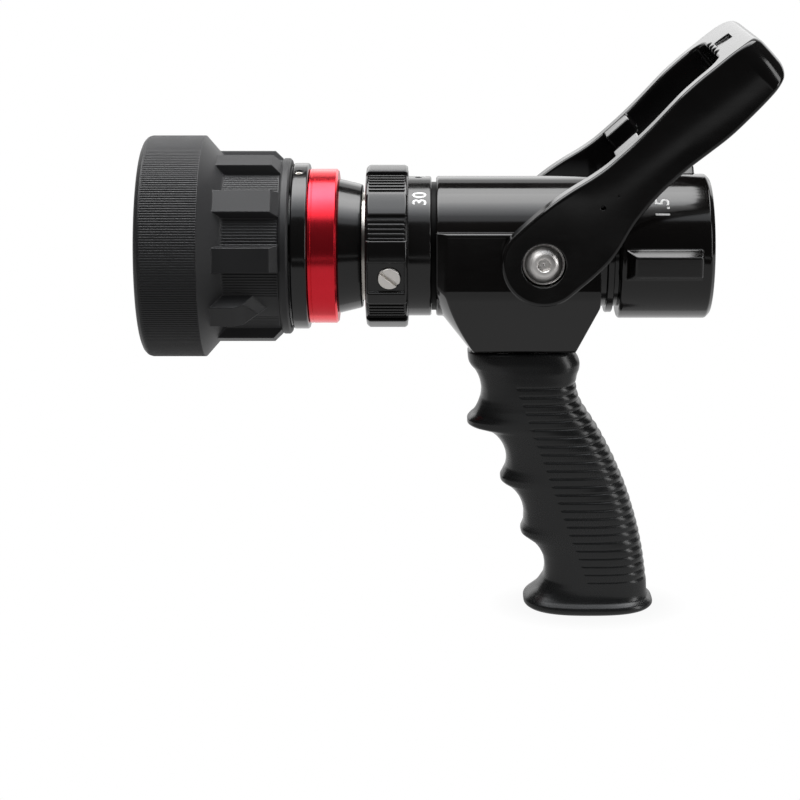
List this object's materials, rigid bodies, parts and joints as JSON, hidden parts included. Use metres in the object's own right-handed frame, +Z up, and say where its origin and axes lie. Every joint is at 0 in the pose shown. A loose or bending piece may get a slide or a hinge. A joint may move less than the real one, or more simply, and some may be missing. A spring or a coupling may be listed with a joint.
{
  "type": "fire hose nozzle",
  "caption": "Pistol-grip fog nozzle with a rear bail-operated ball valve, a selectable-flow ring, a turning rubber-bumpered pattern sleeve and a free-spinning hose swivel.",
  "frame": {"origin": "centre of the inlet mouth of the hose swivel, on the waterway axis", "axes": "+X out of the inlet mouth along the waterway (the spray end points to -X), +Z up away from the pistol grip, -Y the side with the slotted detent plug"},
  "size_m": [0.2887, 0.1026, 0.2763],
  "materials": {
    "coupling_black": "gloss black anodised, machined",
    "body_black": "gloss black hard coat",
    "bail_black": "gloss black moulded handle",
    "ring_black": "satin black anodised, turned",
    "ring_red": "red anodised, fine turned lines",
    "bumper_rubber": "matte moulded rubber",
    "grip_plastic": "semi-gloss black nylon",
    "seal_rubber": "black nitrile",
    "seat_plastic": "white low-friction plastic",
    "stainless": "stainless steel",
    "polished_steel": "polished stainless steel",
    "bare_alloy": "bare turned aluminium",
    "brass": "turned brass"
  },
  "bodies": {
    "nozzle": {"inlet_tailpiece": "coupling_black", "tailpiece_oring": "seal_rubber", "race_ball_set": "stainless", "valve_body": "body_black", "rear_seat": "seat_plastic", "front_seat": "seat_plastic", "seat_oring": "seal_rubber", "stem_tube": "bare_alloy", "stem_orings": "seal_rubber", "snap_ring": "stainless", "spider_plate": "brass", "baffle_head": "ring_black", "baffle_screw": "stainless", "pistol_grip": "grip_plastic", "grip_bolt": "stainless", "grip_washer": "stainless", "grip_plug": "grip_plastic"},
    "swivel": {"swivel_coupling": "coupling_black", "hose_gasket": "seal_rubber", "inlet_screen": "stainless", "ball_plug": "stainless"},
    "bail": {"bail_handle": "bail_black", "bail_screws": "polished_steel", "thrust_washers": "seat_plastic", "trunnions": "stainless", "trunnion_orings": "seal_rubber", "valve_ball": "polished_steel"},
    "flow": {"flow_ring": "ring_black", "detent_plug": "stainless", "detent_spring": "stainless", "detent_ball": "stainless", "drive_pins": "stainless", "metering_sleeve": "brass"},
    "guide": {"guide_ring": "seat_plastic"},
    "pattern": {"pattern_sleeve": "ring_black", "rubber_bumper": "bumper_rubber", "lock_ring": "ring_black", "set_screw": "stainless", "cam_pin": "stainless", "index_ring": "ring_red", "rear_skirt": "ring_black"}
  },
  "joints": [
    {"name": "swivel_spin", "type": "hinge", "parent": "nozzle", "child": "swivel", "pos_m": [-0.0364, 0, 0], "axis": [1, 0, 0], "continuous": true},
    {"name": "bail_swing", "type": "hinge", "parent": "nozzle", "child": "bail", "pos_m": [-0.0781, 0, 0], "axis": [0, -1, 0], "range_deg": [0, 90]},
    {"name": "flow_turn", "type": "hinge", "parent": "nozzle", "child": "flow", "pos_m": [-0.1474, 0, 0], "axis": [1, 0, 0], "range_deg": [0, 96]},
    {"name": "pattern_turn", "type": "hinge", "parent": "nozzle", "child": "guide", "pos_m": [-0.217, 0, 0], "axis": [-1, 0, 0], "range_deg": [0, 180]},
    {"name": "pattern_travel", "type": "slide", "parent": "guide", "child": "pattern", "axis": [-1, 0, 0], "range_m": [0, 0.014]}
  ],
  "couplings": [
    {"joint": "pattern_travel", "follows": "pattern_turn", "m_per_rad": 0.004456}
  ]
}
